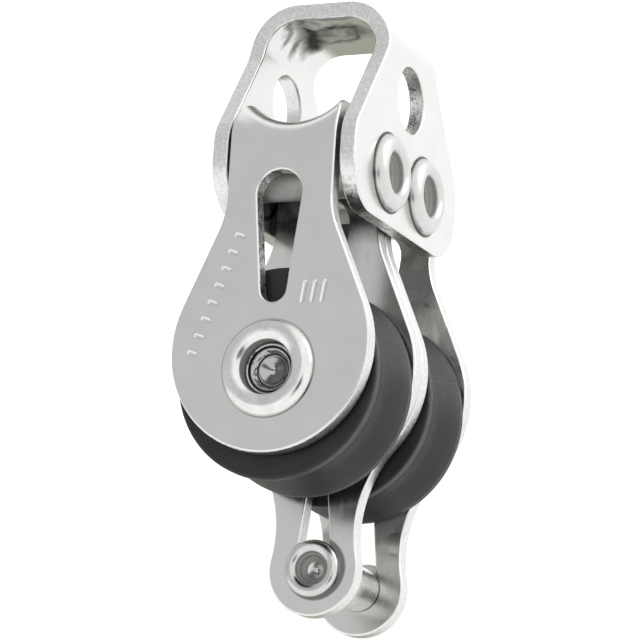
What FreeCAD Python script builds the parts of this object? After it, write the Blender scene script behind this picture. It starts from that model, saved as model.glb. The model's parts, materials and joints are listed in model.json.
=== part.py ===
import FreeCAD, Part
import math
import os

# Small double sheave block with a becket, millimetres, +Z up.
# Origin: centre of the cross hole in the head bracket.  X runs across the block,
# along the cross hole and the head rivets.  Y runs front to back, along the axle.

# sheet and straps
SHEET = 1.2
GAP = 7.1
STRAP_DEPTH = GAP + 2 * SHEET
STRAP_CLEARANCE = 0.1
STRAP_PITCH = STRAP_DEPTH + STRAP_CLEARANCE
STRAP_MID = STRAP_PITCH / 2

# plain stamped marks on the front cheek: (x, height above the axle)
STAMP_NOSE_R = 0.22
STAMP_DEPTH = 0.08
STAMP_ROW_LOW = (-5.8, 1.2)
STAMP_ROW_HIGH = (-2.75, 9.5)
STAMP_ROW_COUNT = 8
STAMP_DASH = 0.5
STAMP_BARS_AT = (3.1, 5.3)
STAMP_BAR = 1.3
STAMP_BAR_PITCH = 0.75
STAMP_BAR_LEAN = 8

# heights above the axle
HOLE_ABOVE_AXLE = 21.6
AXLE_Z = -HOLE_ABOVE_AXLE
BECKET_BELOW_AXLE = 12.2
BECKET_Z = AXLE_Z - BECKET_BELOW_AXLE
RIVET_ABOVE_AXLE = 15.34
RIVET_Z = AXLE_Z + RIVET_ABOVE_AXLE

# cheek outline
CHEEK_R = 7.45
CHEEK_RISE = 1.55
CHEEK_CENTRE_Z = AXLE_Z + CHEEK_RISE
TAPER_DEG = 23.5
NECK_HALF = 4.0
NECK_BLEND_R = 6.0
EAR_R = 3.35
WAIST_R = 8.8
HORN_R = 4.0
HORN_Z = AXLE_Z + 17.9
HORN_SWEEP = 50

# fold over the head rivet
SADDLE_R = 5.0
SADDLE_Z = AXLE_Z + 23.2
FOLD_R = 2.6
FOLD_SPAN = 55.0
FOLD_SWEEP = 60.0

# tapered slots
SLOT_WIDE_R = 1.70
SLOT_WIDE_Z = AXLE_Z + 12.45
SLOT_NARROW_R = 0.98
SLOT_NARROW_Z = AXLE_Z + 5.65
EAR_SLOT_R = 1.35
EAR_SLOT_TOP_R = 0.68
EAR_SLOT_TOP_Z = BECKET_Z + 6.1

# head bracket
HEAD_HALF = 5.45
HEAD_DEPTH = 18.7
HEAD_BOTTOM_Z = AXLE_Z + 11.7
HEAD_TOP_Z = AXLE_Z + 27.95
HEAD_SHOULDER_Z = AXLE_Z + 17.3
HEAD_NECK_Z = AXLE_Z + 24.5
HEAD_WEB_HALF = 4.3
HEAD_BEND_R = 3.5
HEAD_CORNER_R = 3.5
HEAD_SHOULDER_R = 3.0
HEAD_NECK_R = 3.0
CROSS_HOLE_R = 2.4

# worn-down sheared edges of the sheet parts
EASE_R = 0.14
EASE_ANGLE_DEG = 30

# head rivets
RIVET_PITCH = 6.4
RIVET_R = 1.64
RIVET_BORE_R = 1.46
RIVET_FLANGE_R = 2.75
RIVET_FLANGE = 0.78
RIVET_CREST_R = 1.97
RIVET_DIP = 0.3
RIVET_HOLE_R = 1.66

# axle
AXLE_R = 2.3
AXLE_BORE_R = 1.95
AXLE_HOLE_R = 2.32
AXLE_HEAD_R = 3.45
AXLE_HEAD = 0.65
AXLE_CREST_R = 2.65
AXLE_DIP = 0.28
CORE_R = 1.93
CORE_RECESS = 0.4

# becket
BECKET_SHANK_R = 1.3
BECKET_BORE_R = 1.2
BECKET_HEAD_R = 2.05
BECKET_HEAD = 0.5
BECKET_CREST_R = 1.62
BECKET_DIP = 0.2
BECKET_CONE_R = 0.87
BECKET_TUBE_R = 1.6
BECKET_TUBE_BORE_R = 1.32

# sheave and bearing
SHEAVE_R = 7.5
SHEAVE_WIDTH = 6.4
FLANGE_NOSE = 0.12
FLANGE_LAND = 0.58
FLANGE_LIP = 0.1
GROOVE_FLANK_DEG = 22.8
GROOVE_BOTTOM_R = 2.0
SHEAVE_BORE_R = 4.92
SHEAVE_RECESS_R = 5.32
SHEAVE_RECESS = 0.5
OUTER_RACE_R = 4.9
OUTER_RACE_BORE_R = 4.2
OUTER_RACE_WIDTH = 4.8
INNER_RACE_R = 3.1
INNER_RACE_CLEARANCE = 0.02
BALL_PITCH_R = 3.65
BALL_R = 0.73
RACE_GROOVE_R = 0.77
BALL_COUNT = 14
SHIELD_R = 5.3
SHIELD_BORE_R = 3.25
SHIELD = 0.4

V = FreeCAD.Vector
X_AXIS = V(1, 0, 0)
Y_AXIS = V(0, 1, 0)


def export(name, shape):
    shape.exportStep("parts/" + name + ".step")


def polar(cx, cz, r, deg):
    a = math.radians(deg)
    return (cx + r * math.cos(a), cz + r * math.sin(a))


def arc_step(cx, cz, r, start, end):
    """An outline step: an arc given by its middle point and its end point."""
    return ("arc", polar(cx, cz, r, (start + end) / 2), polar(cx, cz, r, end))


def turn_at(shape, edge):
    """Angle in degrees between the two faces that meet at an edge; 0 for a seam."""
    faces = shape.ancestorsOfType(edge, Part.Face)
    if len(faces) != 2:
        return 0
    middle = edge.valueAt((edge.FirstParameter + edge.LastParameter) / 2)
    normals = []
    for face in faces:
        u, v = face.Surface.parameter(middle)
        normals.append(face.normalAt(u, v))
    return math.degrees(normals[0].getAngle(normals[1]))


def eased(shape):
    """The sheet part with every sharp edge slightly rounded."""
    sharp = [edge for edge in shape.Edges if turn_at(shape, edge) > EASE_ANGLE_DEG]
    return shape.makeFillet(EASE_R, sharp)


def outline_face(start, steps, place):
    """A planar face from a start point and line or arc steps; place maps 2-D to 3-D."""
    edges = []
    here = start
    for step in steps:
        end = step[-1]
        if step[0] == "line":
            edges.append(Part.LineSegment(place(here), place(end)).toShape())
        else:
            edges.append(Part.Arc(place(here), place(step[1]), place(end)).toShape())
        here = end
    return Part.Face(Part.Wire(edges))


def mirrored(start, steps):
    """Close a right-hand half outline with its mirror image about the vertical axis."""
    points = [start] + [step[-1] for step in steps]
    closed = list(steps)
    x_end, z_end = points[-1]
    if abs(x_end) > 1e-6:
        closed.append(("line", (-x_end, z_end)))
    for i in range(len(steps) - 1, -1, -1):
        x, z = points[i]
        if steps[i][0] == "line":
            closed.append(("line", (-x, z)))
        else:
            mx, mz = steps[i][1]
            closed.append(("arc", (-mx, mz), (-x, z)))
    return closed


def on_xz(y):
    return lambda p: V(p[0], y, p[1])


def round_corners(points, radii):
    """Start point and steps of a closed polygon whose corners are rounded by radii."""
    cut = []
    n = len(points)
    for i in range(n):
        p = V(points[i][0], points[i][1], 0)
        before = V(points[i - 1][0], points[i - 1][1], 0) - p
        after = V(points[(i + 1) % n][0], points[(i + 1) % n][1], 0) - p
        before.normalize()
        after.normalize()
        r = radii[i]
        if r == 0:
            cut.append((p, p, p))
            continue
        half = before.getAngle(after) / 2
        run = r / math.tan(half)
        middle = before + after
        middle.normalize()
        centre = p + middle * (r / math.sin(half))
        cut.append((p + before * run, centre - middle * r, p + after * run))
    steps = []
    for i in range(n):
        a, m, b = cut[i]
        if i > 0:
            steps.append(("line", (a.x, a.y)))
        if radii[i] > 0:
            steps.append(("arc", (m.x, m.y), (b.x, b.y)))
    first = cut[0][0]
    steps.append(("line", (first.x, first.y)))
    return (first.x, first.y), steps


def neck_steps():
    """Outline from the tangent point on the round part up to the top of the neck."""
    tangent = polar(0, CHEEK_CENTRE_Z, CHEEK_R, TAPER_DEG)
    slope = math.tan(math.radians(TAPER_DEG))
    corner_z = tangent[1] + (tangent[0] - NECK_HALF) / slope
    run = NECK_BLEND_R * math.tan(math.radians(TAPER_DEG / 2))
    cx = NECK_HALF + NECK_BLEND_R
    cz = corner_z + run
    blend = arc_step(cx, cz, NECK_BLEND_R, 180 + TAPER_DEG, 180)
    blend_start = polar(cx, cz, NECK_BLEND_R, 180 + TAPER_DEG)
    horn = arc_step(NECK_HALF - HORN_R, HORN_Z, HORN_R, 0, HORN_SWEEP)
    return [("line", blend_start), blend, ("line", (NECK_HALF, HORN_Z)), horn]


def plain_cheek():
    start = (0, CHEEK_CENTRE_Z - CHEEK_R)
    steps = [arc_step(0, CHEEK_CENTRE_Z, CHEEK_R, -90, TAPER_DEG)] + neck_steps()
    return start, steps


def eared_cheek():
    """The round part runs through a waist into the becket ear."""
    reach = CHEEK_CENTRE_Z - BECKET_Z
    d_cheek = CHEEK_R + WAIST_R
    d_ear = EAR_R + WAIST_R
    drop = (d_cheek ** 2 - d_ear ** 2 + reach ** 2) / (2 * reach)
    wx = math.sqrt(d_cheek ** 2 - drop ** 2)
    wz = CHEEK_CENTRE_Z - drop
    to_ear = math.degrees(math.atan2(wz - BECKET_Z, wx))
    to_cheek = math.degrees(math.atan2(wz - CHEEK_CENTRE_Z, wx))
    start = (0, BECKET_Z - EAR_R)
    steps = [
        arc_step(0, BECKET_Z, EAR_R, -90, to_ear),
        arc_step(wx, wz, WAIST_R, 180 + to_ear, 180 + to_cheek),
        arc_step(0, CHEEK_CENTRE_Z, CHEEK_R, to_cheek, TAPER_DEG),
    ]
    return start, steps + neck_steps()


def fold_band(y0):
    """Strap wall before trimming: an inverted U turned about the saddle's axis."""
    y1 = y0 + STRAP_DEPTH
    inner = FOLD_R - SHEET
    r_in = SADDLE_R + SHEET
    points = [
        (y0, FOLD_SPAN), (y0, SADDLE_R), (y1, SADDLE_R), (y1, FOLD_SPAN),
        (y1 - SHEET, FOLD_SPAN), (y1 - SHEET, r_in), (y0 + SHEET, r_in), (y0 + SHEET, FOLD_SPAN),
    ]
    start, steps = round_corners(points, [0, FOLD_R, FOLD_R, 0, 0, inner, inner, 0])
    face = outline_face(start, steps, lambda p: V(0, p[0], SADDLE_Z - p[1]))
    band = face.revolve(V(0, 0, SADDLE_Z), Y_AXIS, 2 * FOLD_SWEEP)
    band.rotate(V(0, 0, SADDLE_Z), Y_AXIS, -FOLD_SWEEP)
    return band


def tapered_slot(low_z, low_r, high_z, high_r, y0):
    """Cutter along Y for a slot with two round ends of different radius."""
    tilt = math.degrees(math.asin((low_r - high_r) / (high_z - low_z)))
    start = (0, low_z - low_r)
    steps = [
        arc_step(0, low_z, low_r, -90, tilt),
        ("line", polar(0, high_z, high_r, tilt)),
        arc_step(0, high_z, high_r, tilt, 90),
    ]
    face = outline_face(start, mirrored(start, steps), on_xz(y0 - 1))
    return face.extrude(V(0, STRAP_DEPTH + 2, 0))


def cheek_strap(y0, outline):
    """One strip folded over its head rivet into two cheeks."""
    start, steps = outline
    blank = outline_face(start, mirrored(start, steps), on_xz(y0 - 1))
    strap = fold_band(y0).common(blank.extrude(V(0, STRAP_DEPTH + 2, 0)))
    strap = strap.cut(tapered_slot(SLOT_NARROW_Z, SLOT_NARROW_R, SLOT_WIDE_Z, SLOT_WIDE_R, y0))
    axle_hole = Part.makeCylinder(AXLE_HOLE_R, STRAP_DEPTH + 2, V(0, y0 - 1, AXLE_Z), Y_AXIS)
    return strap.cut(axle_hole)


def stamp(x, above_axle, lean, length, face_y):
    """Cutter for one shallow dash in a face that looks along -Y, leaning from +Z to +X."""
    along = V(math.sin(math.radians(lean)), 0, math.cos(math.radians(lean)))
    low = V(x, face_y - STAMP_NOSE_R + STAMP_DEPTH, AXLE_Z + above_axle) - along * (length / 2)
    dash = Part.makeCylinder(STAMP_NOSE_R, length, low, along)
    for end in (low, low + along * length):
        dash = dash.fuse(Part.makeSphere(STAMP_NOSE_R, end))
    return dash


def stamps(face_y):
    """A row of dashes down the left of the cheek and three bars on its right."""
    (x0, z0), (x1, z1) = STAMP_ROW_LOW, STAMP_ROW_HIGH
    lean = math.degrees(math.atan2(x1 - x0, z1 - z0))
    cutters = []
    for i in range(STAMP_ROW_COUNT):
        t = i / (STAMP_ROW_COUNT - 1)
        cutters.append(stamp(x0 + t * (x1 - x0), z0 + t * (z1 - z0), lean + 90, STAMP_DASH, face_y))
    x, z = STAMP_BARS_AT
    for i in (-1, 0, 1):
        cutters.append(stamp(x + i * STAMP_BAR_PITCH, z, STAMP_BAR_LEAN, STAMP_BAR, face_y))
    return cutters


def front_cheek_strap():
    return cheek_strap(-STRAP_MID - STRAP_DEPTH / 2, plain_cheek())


def rear_cheek_strap():
    y0 = STRAP_MID - STRAP_DEPTH / 2
    strap = cheek_strap(y0, eared_cheek())
    slot = tapered_slot(BECKET_Z, EAR_SLOT_R, EAR_SLOT_TOP_Z, EAR_SLOT_TOP_R, y0)
    return strap.cut(slot)


def head_bracket():
    """Strip bent into a bridge: two legs and the web over them."""
    low = HEAD_BOTTOM_Z
    inner = HEAD_HALF - SHEET
    points = [
        (HEAD_HALF, low), (HEAD_HALF, HEAD_TOP_Z), (-HEAD_HALF, HEAD_TOP_Z), (-HEAD_HALF, low),
        (-inner, low), (-inner, HEAD_TOP_Z - SHEET), (inner, HEAD_TOP_Z - SHEET), (inner, low),
    ]
    r = HEAD_BEND_R
    start, steps = round_corners(points, [0, r, r, 0, 0, r - SHEET, r - SHEET, 0])
    bridge = outline_face(start, steps, on_xz(-HEAD_DEPTH)).extrude(V(0, 2 * HEAD_DEPTH, 0))
    half = HEAD_DEPTH / 2
    side = [
        (half, low), (half, HEAD_SHOULDER_Z), (HEAD_WEB_HALF, HEAD_NECK_Z),
        (HEAD_WEB_HALF, HEAD_TOP_Z + 1), (-HEAD_WEB_HALF, HEAD_TOP_Z + 1),
        (-HEAD_WEB_HALF, HEAD_NECK_Z), (-half, HEAD_SHOULDER_Z), (-half, low),
    ]
    radii = [HEAD_CORNER_R, HEAD_SHOULDER_R, HEAD_NECK_R, 0, 0, HEAD_NECK_R, HEAD_SHOULDER_R, HEAD_CORNER_R]
    start, steps = round_corners(side, radii)
    profile = outline_face(start, steps, lambda p: V(-HEAD_HALF - 1, p[0], p[1]))
    bracket = bridge.common(profile.extrude(V(2 * HEAD_HALF + 2, 0, 0)))
    span = 2 * HEAD_HALF + 2
    for y, z, r in [
        (0, 0, CROSS_HOLE_R),
        (-RIVET_PITCH / 2, RIVET_Z, RIVET_HOLE_R),
        (RIVET_PITCH / 2, RIVET_Z, RIVET_HOLE_R),
    ]:
        bracket = bracket.cut(Part.makeCylinder(r, span, V(-span / 2, y, z), X_AXIS))
    return bracket


def bulge(a, b, centre):
    """An arc step from a to b about a centre, all (distance along the axis, radius)."""
    r = math.hypot(b[0] - centre[0], b[1] - centre[1])
    middle = V((a[0] + b[0]) / 2 - centre[0], (a[1] + b[1]) / 2 - centre[1], 0)
    middle.normalize()
    return ("arc", (centre[0] + r * middle.x, centre[1] + r * middle.y), b)


def rolled_half(seat, shank_r, bore_r, head_r, head, crest_r, dip):
    """Outline of one rolled end of a tubular rivet, from its shank out to its bore.

    seat is the distance along the axis to the face under the head. The head is a
    rounded ring, highest at crest_r and lower by dip where it meets the bore."""
    foot = seat + 0.18 * head
    top = seat + head
    rise = top - foot
    run = head_r - crest_r
    outer = (run ** 2 + rise ** 2) / (2 * rise)
    run = crest_r - bore_r
    inner = (run ** 2 + dip ** 2) / (2 * dip)
    crest = (top, crest_r)
    return [
        (seat, shank_r),
        ("line", (seat, head_r)),
        ("line", (foot, head_r)),
        bulge((foot, head_r), crest, (top - outer, crest_r)),
        bulge(crest, (top - dip, bore_r), (top - inner, crest_r)),
    ]


def tubular_rivet(centre, axis, one):
    """Hollow rivet with the same head, given as half an outline, at both ends."""
    start = one[0]
    steps = list(one[1:])
    points = [start] + [step[-1] for step in steps]
    here = points[-1]
    steps.append(("line", (-here[0], here[1])))
    for i in range(len(one) - 2, -1, -1):
        a, r = points[i]
        step = one[i + 1]
        if step[0] == "line":
            steps.append(("line", (-a, r)))
        else:
            steps.append(("arc", (-step[1][0], step[1][1]), (-a, r)))
    steps.append(("line", start))
    return turned(centre, axis, start, steps)


def turned(centre, axis, start, steps):
    """Revolve an outline of (distance along the axis, radius) about the axis."""
    side = V(0, 0, 1)
    face = outline_face(start, steps, lambda p: centre + axis * p[0] + side * p[1])
    return face.revolve(centre, axis, 360)


def head_rivet(y):
    end = rolled_half(HEAD_HALF, RIVET_R, RIVET_BORE_R, RIVET_FLANGE_R, RIVET_FLANGE,
                      RIVET_CREST_R, RIVET_DIP)
    return tubular_rivet(V(0, y, RIVET_Z), X_AXIS, end)


def axle_tube():
    end = rolled_half(STRAP_MID + STRAP_DEPTH / 2, AXLE_R, AXLE_BORE_R, AXLE_HEAD_R, AXLE_HEAD,
                      AXLE_CREST_R, AXLE_DIP)
    return tubular_rivet(V(0, 0, AXLE_Z), Y_AXIS, end)


def axle_core_rivet():
    """Solid core of the axle: two raised rings round a drilled centre at each end."""
    end = STRAP_MID + STRAP_DEPTH / 2 - CORE_RECESS
    points = [
        (end - 0.12, CORE_R), (end - 0.02, 1.86), (end, 1.77), (end - 0.05, 1.68),
        (end - 0.32, 1.61), (end - 0.32, 1.55), (end - 0.12, 1.5), (end - 0.16, 1.4),
        (end - 0.4, 1.16), (end - 0.56, 1.08), (end - 0.56, 1.01), (end - 0.36, 0.94),
        (end - 0.95, 0.0),
    ]
    steps = [("line", p) for p in points[1:]]
    steps += [("line", (-a, r)) for a, r in reversed(points)]
    steps.append(("line", points[0]))
    return turned(V(0, 0, AXLE_Z), Y_AXIS, points[0], steps)


def becket_rivet():
    """Semi-tubular rivet: rolled mouth in front, plain domed head behind."""
    seat = STRAP_DEPTH / 2
    front = rolled_half(seat, BECKET_SHANK_R, BECKET_BORE_R, BECKET_HEAD_R, BECKET_HEAD,
                        BECKET_CREST_R, BECKET_DIP)
    front = [(-front[0][0], front[0][1])] + [
        tuple([step[0]] + [(-a, r) for a, r in step[1:]]) for step in front[1:]
    ]
    mouth = front[-1][-1][0]
    steps = front[1:] + [
        ("line", (mouth + 0.26, BECKET_BORE_R - 0.07)),
        ("line", (mouth + 0.31, BECKET_BORE_R - 0.15)),
        ("line", (mouth + 0.6, BECKET_BORE_R - 0.28)),
        ("line", (mouth + 0.64, BECKET_CONE_R)),
        ("line", (mouth + 1.36, 0)),
        ("line", (seat + 0.72, 0)),
        ("arc", (seat + 0.56, BECKET_HEAD_R * 0.55), (seat + 0.2, BECKET_HEAD_R)),
        ("line", (seat, BECKET_HEAD_R)),
        ("line", (seat, BECKET_SHANK_R)),
        ("line", front[0]),
    ]
    return turned(V(0, STRAP_MID, BECKET_Z), Y_AXIS, front[0], steps)


def sleeve(centre, half, inner_r, outer_r):
    """Plain ring along Y, centred."""
    base = centre - Y_AXIS * half
    ring = Part.makeCylinder(outer_r, 2 * half, base, Y_AXIS)
    return ring.cut(Part.makeCylinder(inner_r, 2 * half, base, Y_AXIS))


def becket_tube():
    return sleeve(V(0, STRAP_MID, BECKET_Z), GAP / 2 - 0.02, BECKET_TUBE_BORE_R, BECKET_TUBE_R)


def sheave(centre):
    """Grooved wheel with a bearing seat and a shield recess on each side."""
    half = SHEAVE_WIDTH / 2
    lip = half - FLANGE_LAND
    recess = half - SHEAVE_RECESS
    apex = SHEAVE_R - lip * math.tan(math.radians(GROOVE_FLANK_DEG))
    points = [
        (-half, SHEAVE_RECESS_R), (-half, SHEAVE_R), (-lip, SHEAVE_R), (0, apex),
        (lip, SHEAVE_R), (half, SHEAVE_R), (half, SHEAVE_RECESS_R), (recess, SHEAVE_RECESS_R),
        (recess, SHEAVE_BORE_R), (-recess, SHEAVE_BORE_R), (-recess, SHEAVE_RECESS_R),
    ]
    radii = [0, FLANGE_NOSE, FLANGE_LIP, GROOVE_BOTTOM_R, FLANGE_LIP, FLANGE_NOSE] + [0] * 5
    start, steps = round_corners(points, radii)
    return turned(centre, Y_AXIS, start, steps)


def race_groove(centre):
    return Part.makeTorus(BALL_PITCH_R, RACE_GROOVE_R, centre, Y_AXIS)


def inner_race(centre):
    ring = sleeve(centre, GAP / 2 - INNER_RACE_CLEARANCE, AXLE_HOLE_R, INNER_RACE_R)
    return ring.cut(race_groove(centre))


def outer_race(centre):
    ring = sleeve(centre, OUTER_RACE_WIDTH / 2, OUTER_RACE_BORE_R, OUTER_RACE_R)
    return ring.cut(race_groove(centre))


def balls(centre):
    """The bearing's balls as separate solids in one shape."""
    solids = []
    for i in range(BALL_COUNT):
        x, z = polar(0, 0, BALL_PITCH_R, 360 * i / BALL_COUNT)
        solids.append(Part.makeSphere(BALL_R, centre + V(x, 0, z)))
    return Part.makeCompound(solids)


def shield(centre, side):
    """Thin ring that closes one side of the bearing and turns with the sheave."""
    offset = SHEAVE_WIDTH / 2 - SHIELD / 2
    return sleeve(centre + Y_AXIS * (side * offset), SHIELD / 2, SHIELD_BORE_R, SHIELD_R)


os.makedirs("parts", exist_ok=True)
export("head_bracket", eased(head_bracket()))
export("head_rivet_front", head_rivet(-RIVET_PITCH / 2))
export("head_rivet_rear", head_rivet(RIVET_PITCH / 2))
marked = eased(front_cheek_strap())
for cutter in stamps(-STRAP_MID - STRAP_DEPTH / 2):
    marked = marked.cut(cutter)
export("front_cheek_strap", marked)
export("rear_cheek_strap", eased(rear_cheek_strap()))
export("axle_tube", axle_tube())
export("axle_core_rivet", axle_core_rivet())
export("becket_rivet", becket_rivet())
export("becket_tube", becket_tube())
for label, sign in [("front", -1), ("rear", 1)]:
    hub = V(0, sign * STRAP_MID, AXLE_Z)
    export(label + "_sheave", sheave(hub))
    export(label + "_inner_race", inner_race(hub))
    export(label + "_outer_race", outer_race(hub))
    export(label + "_balls", balls(hub))
    export(label + "_shield_outboard", shield(hub, sign))
    export(label + "_shield_inboard", shield(hub, -sign))
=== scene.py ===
import json
import math
import bmesh
import bpy
from mathutils import Matrix, Vector


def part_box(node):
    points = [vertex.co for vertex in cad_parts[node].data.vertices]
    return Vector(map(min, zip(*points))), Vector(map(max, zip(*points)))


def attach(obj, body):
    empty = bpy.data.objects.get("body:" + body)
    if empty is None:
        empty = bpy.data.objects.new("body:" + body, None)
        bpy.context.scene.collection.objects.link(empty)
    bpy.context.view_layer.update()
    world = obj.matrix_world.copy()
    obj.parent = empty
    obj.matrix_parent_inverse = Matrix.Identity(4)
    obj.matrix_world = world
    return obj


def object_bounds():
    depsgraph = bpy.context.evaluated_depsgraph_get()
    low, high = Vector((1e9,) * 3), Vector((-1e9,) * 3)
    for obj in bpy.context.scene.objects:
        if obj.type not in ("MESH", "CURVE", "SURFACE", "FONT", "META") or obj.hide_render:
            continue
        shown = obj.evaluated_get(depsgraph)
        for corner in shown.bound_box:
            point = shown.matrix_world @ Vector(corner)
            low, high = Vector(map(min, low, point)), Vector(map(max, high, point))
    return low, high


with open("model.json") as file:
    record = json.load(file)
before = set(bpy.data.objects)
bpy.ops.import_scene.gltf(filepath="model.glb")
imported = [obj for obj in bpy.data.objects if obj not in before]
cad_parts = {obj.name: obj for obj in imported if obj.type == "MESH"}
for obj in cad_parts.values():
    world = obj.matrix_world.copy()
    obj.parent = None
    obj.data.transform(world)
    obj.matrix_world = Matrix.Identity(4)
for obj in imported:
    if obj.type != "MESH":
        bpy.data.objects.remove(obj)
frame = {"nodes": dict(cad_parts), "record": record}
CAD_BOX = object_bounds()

MM = 0.001
NODES = frame["nodes"]


# ---------------------------------------------------------------- positions from the frame
def centre_of(node):
    lo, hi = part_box(node)
    return (Vector(lo) + Vector(hi)) / 2


FRONT_HUB = centre_of("front_sheave")
REAR_HUB = centre_of("rear_sheave")
AXLE = centre_of("axle_tube")
BECKET = centre_of("becket_tube")
HEAD_RIVETS = [centre_of("head_rivet_front"), centre_of("head_rivet_rear")]
STRAP_FACE = -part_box("front_cheek_strap")[0][1]
STRAP_TOP_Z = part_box("front_cheek_strap")[1][2]
SHEET = 1.2 * MM
# The inner face of each strap's rear cheek, and the outer face of the rear strap's front one.
FRONT_INNER_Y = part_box("front_cheek_strap")[1][1] - SHEET
REAR_INNER_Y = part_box("rear_cheek_strap")[1][1] - SHEET
REAR_FRONT_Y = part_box("rear_cheek_strap")[0][1]
HEAD_TOP_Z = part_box("head_bracket")[1][2]
HEAD_LOW_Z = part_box("head_bracket")[0][2]
HEAD_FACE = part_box("head_bracket")[1][0]
CROSS_HOLE_R = next(mount["dims"]["r_mm"] for mount in frame["record"]["mounts"]
                    if mount["name"] == "head_cross_hole") * MM
SHEAVE_R = (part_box("front_sheave")[1][2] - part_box("front_sheave")[0][2]) / 2
SHEAVE_HALF = (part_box("front_sheave")[1][1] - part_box("front_sheave")[0][1]) / 2


# ---------------------------------------------------------------- node tree helper
class Tree:
    """A short way to write a shader: every call makes a node and returns its first output."""

    def __init__(self, owner):
        self.owner = owner
        owner.use_nodes = True
        self.tree = owner.node_tree
        self.tree.nodes.clear()

    def node(self, kind, **props):
        n = self.tree.nodes.new(kind)
        for key, value in props.items():
            setattr(n, key, value)
        return n

    def feed(self, socket, value):
        if isinstance(value, bpy.types.NodeSocket):
            self.tree.links.new(value, socket)
        elif value is not None:
            socket.default_value = value

    def math(self, op, a, b=None):
        n = self.node("ShaderNodeMath", operation=op)
        for socket, value in zip(n.inputs, (a, b)):
            self.feed(socket, value)
        return n.outputs[0]

    def vec(self, op, a, b=None):
        n = self.node("ShaderNodeVectorMath", operation=op)
        self.feed(n.inputs[0], a)
        self.feed(n.inputs[1], b)
        if op in ("LENGTH", "DOT_PRODUCT", "DISTANCE"):
            return n.outputs["Value"]
        return n.outputs[0]

    def split(self, v):
        n = self.node("ShaderNodeSeparateXYZ")
        self.feed(n.inputs[0], v)
        return n.outputs

    def join(self, x, y, z):
        n = self.node("ShaderNodeCombineXYZ")
        for socket, value in zip(n.inputs, (x, y, z)):
            self.feed(socket, value)
        return n.outputs[0]

    def noise(self, v, scale, detail=3.0, rough=0.55, distort=0.0):
        n = self.node("ShaderNodeTexNoise")
        self.feed(n.inputs["Vector"], v)
        self.feed(n.inputs["Scale"], scale)
        self.feed(n.inputs["Detail"], detail)
        self.feed(n.inputs["Roughness"], rough)
        self.feed(n.inputs["Distortion"], distort)
        return n.outputs[0]

    def noise_colour(self, v, scale):
        n = self.node("ShaderNodeTexNoise")
        self.feed(n.inputs["Vector"], v)
        self.feed(n.inputs["Scale"], scale)
        return n.outputs["Color"]

    def remap(self, value, from_start, from_end, to_start, to_end):
        n = self.node("ShaderNodeMapRange", clamp=True)
        for socket, v in zip(n.inputs, (value, from_start, from_end, to_start, to_end)):
            self.feed(socket, v)
        return n.outputs[0]

    def mix(self, fac, a, b):
        n = self.node("ShaderNodeMix", data_type="RGBA")
        self.feed(n.inputs["Factor"], fac)
        sockets = [s for s in n.inputs if s.type == "RGBA"]
        for socket, value in zip(sockets, (a, b)):
            if isinstance(value, tuple):
                value = (*value, 1)
            self.feed(socket, value)
        return [s for s in n.outputs if s.type == "RGBA"][0]

    def bump(self, height, distance, strength=1.0, normal=None):
        n = self.node("ShaderNodeBump")
        n.inputs["Strength"].default_value = strength
        n.inputs["Distance"].default_value = distance
        self.feed(n.inputs["Height"], height)
        if normal is not None:
            self.feed(n.inputs["Normal"], normal)
        return n.outputs[0]

    def place(self):
        return self.node("ShaderNodeTexCoord").outputs["Object"]

    def facing(self):
        return self.node("ShaderNodeTexCoord").outputs["Normal"]

    def shader(self, colour, rough, normal, metallic=0.0, **constants):
        n = self.node("ShaderNodeBsdfPrincipled")
        self.feed(n.inputs["Base Color"], colour)
        self.feed(n.inputs["Roughness"], rough)
        self.feed(n.inputs["Normal"], normal)
        self.feed(n.inputs["Metallic"], metallic)
        for key, value in constants.items():
            n.inputs[key.replace("_", " ")].default_value = value
        out = self.node("ShaderNodeOutputMaterial")
        self.tree.links.new(n.outputs[0], out.inputs[0])
        return self.owner


# ---------------------------------------------------------------- materials
STEEL_LIGHT = (0.625, 0.622, 0.613)
STEEL_DARK = (0.59, 0.587, 0.577)
EDGE_LIGHT = (0.74, 0.737, 0.727)
EDGE_DARK = (0.56, 0.557, 0.545)
CHIP_LIGHT = (0.85, 0.845, 0.83)
CHIP_DARK = (0.13, 0.13, 0.12)
# Dark painted on as shade inside the rear plate and as reflections under the web.
SHADE_AND_REFLECTION_DARK = (0.035, 0.035, 0.026)
# Dark painted on as shade round rivet heads, in bores and under the bracket, and the dirt at the
# becket tube's joint.
DIRT_AND_SHADE = (0.045, 0.044, 0.040)
RIVET_LIGHT = (0.67, 0.667, 0.655)
RIVET_DARK = (0.58, 0.577, 0.567)
RIVET_DIRT = (0.35, 0.345, 0.33)
BARREL_LIGHT = (0.68, 0.675, 0.66)
BARREL_DARK = (0.50, 0.495, 0.48)
BORE_LIGHT = (0.64, 0.637, 0.62)
BORE_DARK = (0.42, 0.418, 0.405)
ACETAL_DARK = (0.8, 0.8, 0.8)
ACETAL_LIGHT = (1.5, 1.5, 1.48)
RUBBED_ACETAL = (0.035, 0.035, 0.034)
PAPER_DARK = (0.84, 0.84, 0.83)
PAPER_LIGHT = (0.88, 0.88, 0.875)

# Where the straps' and the head's marks, painted shade and painted reflections lie. SLOT_Z and
# PRESSED_Z are the two ends of a window, and every other pair is the two ends of a fade.
STRAP_FOLD_Z = (STRAP_TOP_Z - 4.4 * MM, STRAP_TOP_Z - 3.6 * MM)
SLOT_HALF = 2.5 * MM
SLOT_Z = (AXLE.z + 4.6 * MM, AXLE.z + 15.2 * MM)
PRESSED_Z = (AXLE.z + 3 * MM, AXLE.z + 15 * MM)
REAR_INNER_FADE = (REAR_INNER_Y - 0.35 * MM, REAR_INNER_Y - 0.05 * MM)
EAR_TOP_FADE = (AXLE.z - 6 * MM, AXLE.z - 5 * MM)
EAR_LOW_FADE = (AXLE.z - 9 * MM, AXLE.z - 12 * MM)
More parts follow.
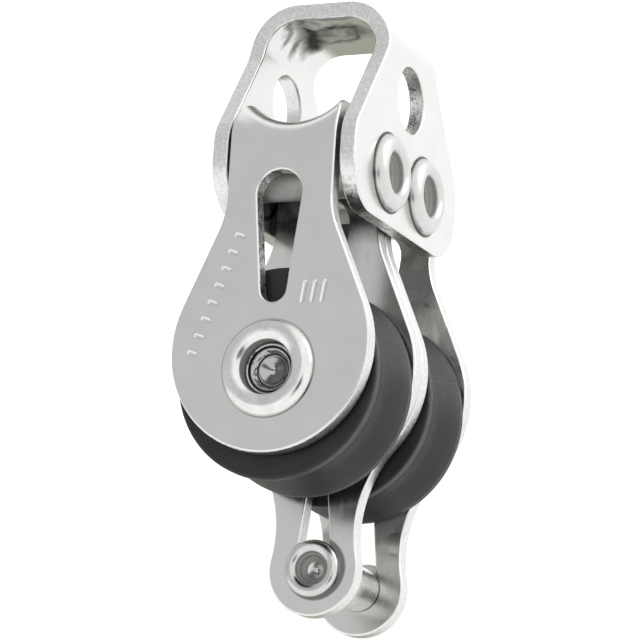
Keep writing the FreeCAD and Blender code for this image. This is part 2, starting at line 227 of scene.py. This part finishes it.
# Heights over which the painted shadow under the bracket fades in.
BRACKET_SHADOW_FADE = (HEAD_LOW_Z - 1.0 * MM, HEAD_LOW_Z + 0.5 * MM)
CROSS_HOLE_FADE = (CROSS_HOLE_R + 0.08 * MM, CROSS_HOLE_R + 0.2 * MM)
LEG_FACE_FADE = (HEAD_FACE - 0.65 * MM, HEAD_FACE - 0.35 * MM)
RIGHT_LEG_FADE = (0.0, 1.0 * MM)
LEG_CORNER_FADE = (-5.4 * MM, -6.6 * MM)
LEGS_FADE = (0.0, 1.5 * MM)
WEB_FADE = (HEAD_TOP_Z - 4.5 * MM, HEAD_TOP_Z - 3 * MM)

# Inner radii of the rings of painted shade round the rivet heads, and the centres of the two
# that sit a little off centre, as X and Z.
AXLE_SEAM_R = 3.4 * MM
BECKET_SEAM_R = 1.9 * MM
HEAD_SEAM_R = 2.67 * MM
AXLE_SEAM_AT = (0.04 * MM, AXLE.z - 0.03 * MM)
BECKET_SEAM_AT = (0.22 * MM, BECKET.z + 0.02 * MM)


def tint(colour, factor):
    return tuple(channel * factor for channel in colour)


def sheet_steel(name, edge_mask, wall_mask, dent_and_dark_mask, seam_shade_mask, painted_dark_at, edge_shade=1.0):
    """Tumbled stainless sheet. Its faces have a faint mottle and fine scratches, its sheared
    edges a sandy grain, and the walls of its punched holes torn speckles. Each mask takes
    (tree, place, normal): the third says where the bending tool dented the sheet and where dark
    is painted on as shade and reflection, the pair after the masks between which values of a
    noise that painted dark lies, and the fourth where shade is painted in a ring round a rivet
    head."""
    t = Tree(bpy.data.materials.new(name))
    p, n = t.place(), t.facing()
    mottle = t.noise(p, 420, 4, 0.6)
    fine = t.noise(p, 5200, 3, 0.6)
    scratch = t.noise(t.vec("MULTIPLY", p, (2600.0, 2600.0, 420.0)), 1.0, 2, 0.5, 0.4)
    sand = t.noise(p, 4600, 3, 0.7)
    chips = t.math("MULTIPLY", 0.5, t.math("ADD", t.noise(p, 1800, 3, 0.6, 0.3),
                                           t.noise(p, 8000, 2, 0.6, 0.3)))
    edge, wall, dent_and_dark = edge_mask(t, p, n), wall_mask(t, p, n), dent_and_dark_mask(t, p, n)
    edge = t.math("MAXIMUM", edge, wall)
    colour = t.mix(t.remap(mottle, 0.3, 0.7, 0.0, 1.0), STEEL_DARK, STEEL_LIGHT)
    edge_colour = t.mix(t.remap(sand, 0.35, 0.65, 0, 1), tint(EDGE_DARK, edge_shade),
                        tint(EDGE_LIGHT, edge_shade))
    colour = t.mix(edge, colour, edge_colour)
    torn = t.mix(t.remap(chips, 0.42, 0.53, 0, 1), CHIP_DARK, CHIP_LIGHT)
    colour = t.mix(wall, colour, torn)
    # A dark patch painted on as shade and reflection, broken up by a noise; the metal is made less
    # metallic there.
    painted_dark_noise = t.noise(t.vec("MULTIPLY", p, (430.0, 260.0, 260.0)), 1.0, 2, 0.5, 0.8)
    painted_dark = t.math("MULTIPLY", dent_and_dark, t.remap(painted_dark_noise, *painted_dark_at, 0.0, 1.0))
    colour = t.mix(painted_dark, colour, SHADE_AND_REFLECTION_DARK)
    # A ring of painted shade round each rivet head, and a painted shadow under the bracket.
    colour = t.mix(seam_shade_mask(t, p, n), colour, DIRT_AND_SHADE)
    face_rough = t.math("ADD", t.remap(mottle, 0.3, 0.7, 0.17, 0.24),
                        t.remap(scratch, 0.45, 0.75, 0.0, 0.05))
    edge_rough = t.remap(sand, 0.3, 0.7, 0.30, 0.44)
    rough = t.math("ADD", t.math("MULTIPLY", face_rough, t.math("SUBTRACT", 1.0, edge)),
                   t.math("MULTIPLY", edge_rough, edge))
    relief = t.bump(t.math("ADD", fine, t.math("MULTIPLY", scratch, 0.6)), 0.004 * MM, 0.35)
    cut = t.bump(t.math("MULTIPLY", sand, edge), 0.02 * MM, 0.7, relief)
    pits = t.bump(t.math("MULTIPLY", chips, wall), 0.07 * MM, 0.8, cut)
    swell = t.bump(t.math("MULTIPLY", t.noise(p, 620, 1, 0.4, 0.6), dent_and_dark), 0.12 * MM, 1.0, pits)
    metallic = t.math("SUBTRACT", 1.0, t.math("MULTIPLY", painted_dark, 0.85))
    return t.shader(colour, rough, swell, metallic, Specular_IOR_Level=0.0)


def between(t, value, lo, hi, soft):
    """1 where value lies from lo to hi, falling to 0 over soft outside that."""
    return t.math("MINIMUM", t.remap(value, lo - soft, lo, 0.0, 1.0),
                  t.remap(value, hi, hi + soft, 1.0, 0.0))


def strap_edges(t, p, n):
    """A strap's faces look along Y below the fold; what looks elsewhere is a cut edge."""
    across = t.math("SUBTRACT", 1.0, t.math("ABSOLUTE", t.split(n)[1]))
    below = t.remap(t.split(p)[2], *STRAP_FOLD_Z, 1.0, 0.0)
    side = t.remap(t.math("ABSOLUTE", t.split(n)[0]), 0.75, 0.95, 0.0, 1.0)
    return t.math("MAXIMUM", t.math("MULTIPLY", t.remap(across, 0.45, 0.8, 0.0, 1.0), below), side)


def strap_walls(t, p, n):
    """The walls of the two tapered slots, near the strap's middle line."""
    across = t.remap(t.math("ABSOLUTE", t.split(n)[1]), 0.3, 0.6, 1.0, 0.0)
    x, _, z = t.split(p)
    near = between(t, x, -SLOT_HALF, SLOT_HALF, 0.1 * MM)
    upper = between(t, z, *SLOT_Z, 0.3 * MM)
    return t.math("MULTIPLY", across, t.math("MULTIPLY", near, upper))


def strap_dents_and_shade(t, p, n):
    """Painted shade on the rear plate's inner face, which faces the rear sheave, over its upper
    half and the neck of its ear; a bump dents the same place."""
    _, y, z = t.split(p)
    tall = between(t, z, *PRESSED_Z, 2 * MM)
    inside = t.remap(y, *REAR_INNER_FADE, 0.0, 0.4)
    ear = t.math("MULTIPLY", t.remap(z, *EAR_LOW_FADE, 1.0, 0.0),
                 t.remap(z, *EAR_TOP_FADE, 1.0, 0.0))
    ear = t.math("MULTIPLY", ear, t.remap(y, *REAR_INNER_FADE, 0.0, 0.45))
    # Where shade is painted dark on the rear plate's inner face; a bump dents it there too.
    pressed = t.math("MAXIMUM", t.math("MULTIPLY", tall, inside), ear)
    return t.math("MULTIPLY", pressed, t.remap(t.split(n)[1], -0.5, -0.8, 0.0, 1.0))


def ring_seam(t, a, b, centre, radius, width, soft):
    """1 in a ring round centre in the plane of the coordinates a and b, fading over soft."""
    flat = t.join(t.math("SUBTRACT", a, centre[0]), t.math("SUBTRACT", b, centre[1]), 0.0)
    return between(t, t.vec("LENGTH", flat), radius, radius + width, soft)


def strap_seam_shade(t, p, n):
    """Painted shade in a ring round the axle's heads and the becket rivet's rolled head, heavier
    on one side, and a painted shadow on the front strap's inner cheek under the bracket."""
    x, y, z = t.split(p)
    axle = ring_seam(t, x, z, AXLE_SEAM_AT, AXLE_SEAM_R, 0.08 * MM, 0.06 * MM)
    outer = t.math("GREATER_THAN", t.math("ABSOLUTE", y), STRAP_FACE - 0.1 * MM)
    becket = ring_seam(t, x, z, BECKET_SEAM_AT, BECKET_SEAM_R, 0.3 * MM, 0.15 * MM)
    front = t.math("LESS_THAN", y, REAR_FRONT_Y + 0.15 * MM)
    rings = t.math("MAXIMUM", t.math("MULTIPLY", t.math("MULTIPLY", axle, outer), 0.5),
                   t.math("MULTIPLY", t.math("MULTIPLY", becket, front), 0.75))
    # A painted shadow on the front strap's inner cheek under the bracket, broken up by a noise.
    inner = between(t, y, FRONT_INNER_Y - 0.25 * MM, FRONT_INNER_Y + 0.25 * MM, 0.05 * MM)
    bracket_shadow = t.math("MULTIPLY", inner, t.remap(z, *BRACKET_SHADOW_FADE, 0.0, 0.8))
    cloud = t.remap(t.noise(p, 1100, 3, 0.6), 0.35, 0.65, 0.65, 1.0)
    return t.math("MAXIMUM", rings, t.math("MULTIPLY", bracket_shadow, cloud))


def head_edges(t, p, n):
    """The head's cut edges look along Y, and along Z under the legs."""
    fore = t.remap(t.math("ABSOLUTE", t.split(n)[1]), 0.45, 0.8, 0.0, 1.0)
    across = t.math("SUBTRACT", 1.0, t.math("ABSOLUTE", t.split(n)[0]))
    below = t.remap(t.split(p)[2], *LEGS_FADE, 1.0, 0.0)
    return t.math("MAXIMUM", fore, t.math("MULTIPLY", t.remap(across, 0.5, 0.8, 0.0, 1.0), below))


def head_walls(t, p, n):
    """The torn wall of the cross hole and the torn lower corners, both on the right leg."""
    x, y, z = t.split(p)
    reach = t.vec("LENGTH", t.join(0.0, y, z))
    side = t.remap(t.math("ABSOLUTE", t.split(n)[0]), 0.2, 0.5, 1.0, 0.0)
    hole = t.math("MULTIPLY", t.remap(reach, *CROSS_HOLE_FADE, 1.0, 0.0), side)
    hole = t.math("MULTIPLY", hole, t.remap(x, *RIGHT_LEG_FADE, 0.0, 0.8))
    hole = t.math("MULTIPLY", hole, t.remap(x, *LEG_FACE_FADE, 1.0, 0.3))
    low = t.math("MULTIPLY", t.remap(z, *LEG_CORNER_FADE, 0.0, 0.6),
                 t.remap(x, *RIGHT_LEG_FADE, 0.0, 1.0))
    under = t.remap(t.split(n)[2], -0.35, -0.7, 0.0, 1.0)
    return t.math("MAXIMUM", hole, t.math("MULTIPLY", t.math("MULTIPLY", low, under), side))


def streak(t, a, b, start, end, half, soft):
    """1 within half of the line from start to end, in the plane of the coordinates a and b."""
    run = (end[0] - start[0], end[1] - start[1])
    along = t.vec("DOT_PRODUCT", t.join(t.math("SUBTRACT", a, start[0]),
                                        t.math("SUBTRACT", b, start[1]), 0.0), (*run, 0.0))
    part = t.remap(along, 0.0, run[0] ** 2 + run[1] ** 2, 0.0, 1.0)
    nearest = t.vec("ADD", t.vec("MULTIPLY", t.join(part, part, 0.0), (*run, 0.0)),
                    (*start, 0.0))
    gap = t.vec("DISTANCE", t.join(a, b, 0.0), nearest)
    return t.remap(gap, half, half + soft, 1.0, 0.0)


# Start, end, half width, fade and strength of each dark streak painted under the web as a
# reflection, in millimetres along X and Y: a bar across it, a pool of two marks right of the
# bar, a thin loop of two round the pool, two short ones left of the bar and a line along the
# front edge.
WEB_PAINTED_REFLECTIONS = (
    ((-2.9, 1.1), (-1.5, -3.6), 0.25, 1.00, 0.97),
    ((-1.5, -1.9), (1.4, -2.2), 0.20, 0.75, 0.95),
    ((-1.6, -1.1), (1.1, -1.2), 0.70, 1.40, 0.62),
    ((-1.7, 1.1), (0.5, 0.8), 0.05, 0.55, 0.70),
    ((0.5, 0.8), (1.5, -1.8), 0.06, 0.45, 0.80),
    ((-4.2, -0.5), (-2.8, -0.8), 0.08, 0.55, 0.70),
    ((-3.7, -2.2), (-2.6, -3.8), 0.06, 0.45, 0.60),
    ((-1.0, -4.1), (2.0, -4.0), 0.05, 0.25, 0.55),
)


def head_dents_and_reflections(t, p, n):
    """The web's underside, with dark streaks painted on it as reflections and dented by a bump
    there.
    """
    under = t.remap(t.split(n)[2], -0.2, -0.6, 0.0, 1.0)
    high = t.remap(t.split(p)[2], *WEB_FADE, 0.0, 1.0)
    push = t.vec("SUBTRACT", t.noise_colour(p, 900), (0.5, 0.5, 0.5))
    x, y, _ = t.split(t.vec("ADD", p, t.vec("MULTIPLY", push, (0.8 * MM, 1.2 * MM, 0.0))))
    marks = None
    for start, end, half, soft, strength in WEB_PAINTED_REFLECTIONS:
        start, end = [tuple(v * MM for v in point) for point in (start, end)]
        mark = t.math("MULTIPLY", streak(t, x, y, start, end, half * MM, soft * MM), strength)
        marks = mark if marks is None else t.math("MAXIMUM", marks, mark)
    return t.math("MULTIPLY", marks, t.math("MULTIPLY", under, high))


def head_seam_shade(t, p, n):
    """Painted shade in a ring round the four rivet heads."""
    _, y, z = t.split(p)
    rings = [ring_seam(t, y, z, (hub.y, hub.z), HEAD_SEAM_R, 0.2 * MM, 0.1 * MM)
             for hub in HEAD_RIVETS]
    return t.math("MAXIMUM", *rings)


def turned_steel(name, centre, axis, rough, marks, recess=None, barrel=None, lumps=0.0,
                 shade=1.0, joint=None, mouth=0.0):
    """Bright rivet steel with fine rings about its own axis, as upsetting tools leave.

    rough is the range of its roughness and marks the strength of its rings' relief. recess is
    (inner radius, outer radius, distance from the centre, darkness) for a bore or groove painted
    dark as its shade, barrel the distance from the centre within which the shank is dull, lumps
    the height of the punch's dents, shade a factor on the colour, joint the distance from the
    centre beyond which dirt sits against the next part, and mouth how dark the painted shade in
    the recess is in its last half millimetre."""
    t = Tree(bpy.data.materials.new(name))
    p = t.vec("SUBTRACT", t.place(), tuple(centre))
    x, y, z = t.split(p)
    flat = t.join(0.0, y, z) if axis == "X" else t.join(x, 0.0, z)
    along = t.math("ABSOLUTE", x if axis == "X" else y)
    radius = t.vec("LENGTH", flat)
    rings = t.noise(t.join(t.math("MULTIPLY", radius, 7000.0),
                           t.math("MULTIPLY", along, 5000.0), 0.0), 1.0, 3, 0.6)
    mottle = t.noise(p, 1100, 3, 0.6)
    dirt = t.noise(p, 2600, 4, 0.65, 0.3)
    colour = t.mix(t.remap(mottle, 0.35, 0.7, 0, 1), tint(RIVET_DARK, shade),
                   tint(RIVET_LIGHT, shade))
    colour = t.mix(t.remap(dirt, 0.60, 0.78, 0, 0.4), colour, RIVET_DIRT)
    roughness = t.remap(t.math("ADD", mottle, t.math("MULTIPLY", rings, 0.5)), 0.5, 1.0, *rough)
    metallic = 1.0
    if barrel:
        dull = t.remap(along, barrel, barrel + 0.2 * MM, 1.0, 0.0)
        colour = t.mix(dull, colour, t.mix(dirt, BARREL_DARK, BARREL_LIGHT))
        roughness = t.math("ADD", roughness, t.math("MULTIPLY", dull, 0.25))
    # The bore or groove is painted darker as its shade, most near its mouth, and is duller and
    # less metallic there.
    if recess:
        inner, outer, depth, dark = recess
        deep = t.math("MULTIPLY", between(t, radius, inner, outer, 0.04 * MM),
                      t.remap(along, depth, depth + 0.12 * MM, 1.0, 0.0))
        painted_dark = t.mix(t.remap(rings, 0.35, 0.65, 0, 1), BORE_DARK, BORE_LIGHT)
        near = t.remap(along, depth - 0.5 * MM, depth - 0.3 * MM, 0.0, mouth)
        painted_dark = t.mix(near, painted_dark, DIRT_AND_SHADE)
        colour = t.mix(deep, colour, t.mix(dark, painted_dark, DIRT_AND_SHADE))
        roughness = t.math("ADD", roughness, t.math("MULTIPLY", deep, 0.2))
        metallic = t.math("SUBTRACT", 1.0, t.math("MULTIPLY", deep, 0.85))
    if joint:
        colour = t.mix(t.remap(along, joint, joint + 0.05 * MM, 0.0, 1.0), colour, DIRT_AND_SHADE)
    height = t.math("ADD", rings, t.math("MULTIPLY", dirt, 0.25))
    normal = t.bump(height, 0.006 * MM, marks)
    if lumps:
        dents = t.math("MULTIPLY", t.noise(p, 1300, 2, 0.5, 0.4),
                       t.remap(radius, 0.9 * MM, 1.1 * MM, 0.0, 1.0))
        normal = t.bump(dents, lumps, 1.0, normal)
    return t.shader(colour, roughness, normal, metallic)


def acetal(name, centre, base=0.009):
    """Black acetal, moulded: faint flow rings, a dull skin and a slightly rubbed groove."""
    t = Tree(bpy.data.materials.new(name))
    p = t.vec("SUBTRACT", t.place(), tuple(centre))
    x, y, z = t.split(p)
    radius = t.vec("LENGTH", t.join(x, 0.0, z))
    rings = t.noise(t.join(t.math("MULTIPLY", radius, 3600.0), t.math("MULTIPLY", y, 3600.0), 0.0),
                    1.0, 3, 0.6)
    skin = t.noise(p, 4200, 3, 0.6)
    cloud = t.noise(p, 330, 3, 0.5)
    rub = t.remap(radius, SHEAVE_R - 0.32 * MM, SHEAVE_R - 0.02 * MM, 0.0, 1.0)
    colour = t.mix(t.remap(cloud, 0.3, 0.7, 0, 1), tint(ACETAL_DARK, base),
                   tint(ACETAL_LIGHT, base))
    colour = t.mix(t.math("MULTIPLY", rub, 0.4), colour, RUBBED_ACETAL)
    rough = t.math("ADD", t.remap(skin, 0.3, 0.7, 0.40, 0.52),
                   t.math("MULTIPLY", t.remap(cloud, 0.3, 0.7, 0, 1), 0.05))
    height = t.math("ADD", t.math("MULTIPLY", skin, 0.6), t.math("MULTIPLY", rings, 0.7))
    return t.shader(colour, rough, t.bump(height, 0.006 * MM, 0.5), 0.0, IOR=1.42)


def dress(node, material):
    data = NODES[node].data
    data.materials.clear()
    data.materials.append(material)


STRAP_STEEL = sheet_steel("strap_stainless", strap_edges, strap_walls, strap_dents_and_shade, strap_seam_shade,
                          (0.45, 0.57), 0.92)
HEAD_STEEL = sheet_steel("head_stainless", head_edges, head_walls, head_dents_and_reflections, head_seam_shade,
                         (0.20, 0.46))
dress("front_cheek_strap", STRAP_STEEL)
dress("rear_cheek_strap", STRAP_STEEL)
dress("head_bracket", HEAD_STEEL)
# Each recess below is a bore or groove painted dark as its shade.
for label, hub in zip(("front", "rear"), HEAD_RIVETS):
    dress("head_rivet_" + label, turned_steel(
        "head_rivet_" + label + "_steel", hub, "X", (0.26, 0.36), 0.5,
        recess=(0.0, 1.5 * MM, HEAD_FACE + 0.45 * MM, 0.0), barrel=HEAD_FACE - 0.6 * MM,
        shade=0.84, mouth=0.4))
dress("axle_tube", turned_steel("axle_tube_steel", AXLE, "Y", (0.15, 0.25), 0.7,
                                recess=(0.0, 1.97 * MM, STRAP_FACE + 0.34 * MM, 0.55)))
dress("axle_core_rivet", turned_steel("axle_core_steel", AXLE, "Y", (0.12, 0.24), 0.8,
                                      recess=(1.5 * MM, 1.6 * MM, 9.0 * MM, 1.0),
                                      lumps=0.12 * MM, shade=0.56))
dress("becket_rivet", turned_steel("becket_rivet_steel", BECKET, "Y", (0.15, 0.25), 0.9,
                                   recess=(0.62 * MM, 1.22 * MM, 5.02 * MM, 0.6),
                                   shade=0.82))
dress("becket_tube", turned_steel("becket_tube_steel", BECKET, "Y", (0.20, 0.30), 0.4,
                                  joint=3.40 * MM))
for label, hub in (("front", FRONT_HUB), ("rear", REAR_HUB)):
    dress(label + "_sheave", acetal(label + "_acetal", hub))
    race = turned_steel(label + "_race_steel", hub, "Y", (0.07, 0.13), 0.3)
    for part in ("_inner_race", "_outer_race", "_balls"):
        dress(label + part, race)
    guard = acetal(label + "_guard_acetal", hub, 0.015)
    dress(label + "_shield_outboard", guard)
    dress(label + "_shield_inboard", guard)


# ---------------------------------------------------------------- moulding line
LINE_ANGLE = math.radians(19.3)
LINE_STEPS = 40
LINE_INSET = 0.25 * MM
LINE_PROFILE = ((-0.075, -0.03), (-0.03, 0.022), (0.03, 0.022), (0.075, -0.03))


def moulding_line():
    """A fine raised line across the rear sheave's groove, where its mould halves met. It
    follows the groove's own surface, found by casting rays at the CAD wheel."""
    out_dir = Vector((math.cos(LINE_ANGLE), 0, math.sin(LINE_ANGLE)))
    side = Vector((-math.sin(LINE_ANGLE), 0, math.cos(LINE_ANGLE)))
    wheel = NODES["rear_sheave"]
    rows = []
    for k in range(LINE_STEPS + 1):
        y = REAR_HUB.y + (2 * k / LINE_STEPS - 1) * (SHEAVE_HALF - LINE_INSET)
        start = Vector((REAR_HUB.x, y, REAR_HUB.z)) + out_dir * (SHEAVE_R + 2 * MM)
        hit, place, normal, _ = wheel.ray_cast(start, -out_dir)
        if hit:
            rows.append((place, normal))
    mesh = bmesh.new()
    grid = [[mesh.verts.new(place + side * (a * MM) + normal * (b * MM)) for a, b in LINE_PROFILE]
            for place, normal in rows]
    for row, after in zip(grid, grid[1:]):
        for i in range(len(LINE_PROFILE)):
            j = (i + 1) % len(LINE_PROFILE)
            mesh.faces.new((row[i], row[j], after[j], after[i]))
    mesh.faces.new(grid[0][::-1])
    mesh.faces.new(grid[-1])
    bmesh.ops.recalc_face_normals(mesh, faces=mesh.faces)
    data = bpy.data.meshes.new("rear_moulding_line")
    mesh.to_mesh(data)
    mesh.free()
    piece = bpy.data.objects.new("rear_moulding_line", data)
    bpy.context.scene.collection.objects.link(piece)
    data.materials.append(acetal("moulding_line_acetal", REAR_HUB, 0.03))
    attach(piece, "rear_wheel")


moulding_line()


# ---------------------------------------------------------------- stage, light and camera
CAMERA_AZIMUTH = math.radians(24.42)
CAMERA_ELEVATION = math.radians(-13.42)
CAMERA_ROLL = math.radians(3.66)
CAMERA_DISTANCE = 0.274
CAMERA_LENS = 225.0
CAMERA_AIM = Vector((3.419, -8.886, -18.209)) * MM
CAMERA_BACK = Vector((math.sin(CAMERA_AZIMUTH) * math.cos(CAMERA_ELEVATION),
                      -math.cos(CAMERA_AZIMUTH) * math.cos(CAMERA_ELEVATION),
                      math.sin(CAMERA_ELEVATION)))

FLOOR_HALF = 2.5
FLOOR_DROP = 0.11


def make_floor():
    mesh = bpy.data.meshes.new("floor")
    z = CAD_BOX[0][2] - FLOOR_DROP
    corners = ((-1, -1), (1, -1), (1, 1), (-1, 1))
    mesh.from_pydata([(a * FLOOR_HALF, b * FLOOR_HALF, z) for a, b in corners], [],
                     [(0, 1, 2, 3)])
    floor = bpy.data.objects.new("floor", mesh)
    bpy.context.scene.collection.objects.link(floor)
    t = Tree(bpy.data.materials.new("floor_paper"))
    cloud = t.noise(t.place(), 6, 2, 0.5)
    colour = t.mix(cloud, PAPER_DARK, PAPER_LIGHT)
    grain = t.bump(t.noise(t.place(), 900, 2, 0.5), 0.05 * MM, 0.2)
    mesh.materials.append(t.shader(colour, 0.7, grain))
    floor.visible_glossy = False


# Brightness of the tent, and the directions from the block in which its parts lie. The grey
# wall's pairs say where along each axis it starts and where it is full.
TENT_WHITE = 1.44
WALL_GREY = (0.865, 0.80)
WALL_GREY_Z = (0.12, 0.32)
WALL_X = (0.16, -0.10)
WALL_Y = (0.26, -0.02)
WALL_Z = (-0.16, -0.04)
LENS_WAY = tuple(CAMERA_BACK)
LENS_EDGE = (0.965, 0.985)
LENS_DARK = 0.06
TABLE_WAY = (-CAMERA_BACK.x, -CAMERA_BACK.y, CAMERA_BACK.z)
TABLE_EDGE = (0.88, 0.97)
TABLE_DARK = 0.35
TABLE_BLUE = 0.84


def make_world():
    """A white light tent with a grey wall high on the left. The lens shows in the steel as a
    small dark spot and the table's far end as a wide one, a little warmer than the rest. The
    camera sees plain white behind the block."""
    world = bpy.data.worlds.new("tent")
    bpy.context.scene.world = world
    t = Tree(world)
    d = t.node("ShaderNodeTexCoord").outputs["Generated"]
    x, y, z = t.split(d)
    left = t.remap(x, *WALL_X, 0.0, 1.0)
    high = t.remap(z, *WALL_Z, 0.0, 1.0)
    fore = t.remap(y, *WALL_Y, 0.0, 1.0)
    wall = t.math("MULTIPLY", t.math("MULTIPLY", left, high), fore)
    shine = t.remap(wall, 0.0, 1.0, TENT_WHITE, t.remap(z, *WALL_GREY_Z, *WALL_GREY))
    lens = t.remap(t.vec("DOT_PRODUCT", d, LENS_WAY), *LENS_EDGE, 1.0, LENS_DARK)
    table = t.remap(t.vec("DOT_PRODUCT", d, TABLE_WAY), *TABLE_EDGE, 1.0, TABLE_DARK)
    shine = t.math("MULTIPLY", shine, t.math("MULTIPLY", lens, table))
    blue = t.math("MULTIPLY", shine, t.remap(table, TABLE_DARK, 1.0, TABLE_BLUE, 1.0))
    seen = t.node("ShaderNodeLightPath").outputs["Is Camera Ray"]
    shine, blue = t.math("MAXIMUM", shine, seen), t.math("MAXIMUM", blue, seen)
    back = t.node("ShaderNodeBackground")
    t.feed(back.inputs["Color"], t.join(shine, shine, blue))
    out = t.node("ShaderNodeOutputWorld")
    t.tree.links.new(back.outputs[0], out.inputs[0])


FILL_AT = (0.45, 0.10, 0.35)
FILL_AIM = (0, 0, -0.015)
FILL_SIZE = (0.40, 0.40)
FILL_WATTS = 1.2


def soft_light(name, at, aim, size, watts):
    light = bpy.data.lights.new(name, "AREA")
    light.shape = "RECTANGLE"
    light.size, light.size_y = size
    light.energy = watts
    lamp = bpy.data.objects.new(name, light)
    lamp.location = at
    lamp.rotation_euler = (Vector(aim) - Vector(at)).to_track_quat("-Z", "Y").to_euler()
    bpy.context.scene.collection.objects.link(lamp)


def make_camera():
    right = Vector((0, 0, 1)).cross(CAMERA_BACK).normalized()
    up = CAMERA_BACK.cross(right)
    cos, sin = math.cos(CAMERA_ROLL), math.sin(CAMERA_ROLL)
    rolled_right = cos * right + sin * up
    rolled_up = -sin * right + cos * up
    data = bpy.data.cameras.new("camera")
    data.lens = CAMERA_LENS
    data.sensor_width = 36
    data.clip_start = 0.01
    data.clip_end = 20
    camera = bpy.data.objects.new("camera", data)
    turn = Matrix((rolled_right, rolled_up, CAMERA_BACK)).transposed().to_4x4()
    camera.matrix_world = Matrix.Translation(CAMERA_AIM + CAMERA_BACK * CAMERA_DISTANCE) @ turn
    bpy.context.scene.collection.objects.link(camera)
    bpy.context.scene.camera = camera


make_floor()
make_world()
make_camera()
soft_light("fill", FILL_AT, FILL_AIM, FILL_SIZE, FILL_WATTS)
bpy.context.scene.view_settings.view_transform = "Standard"
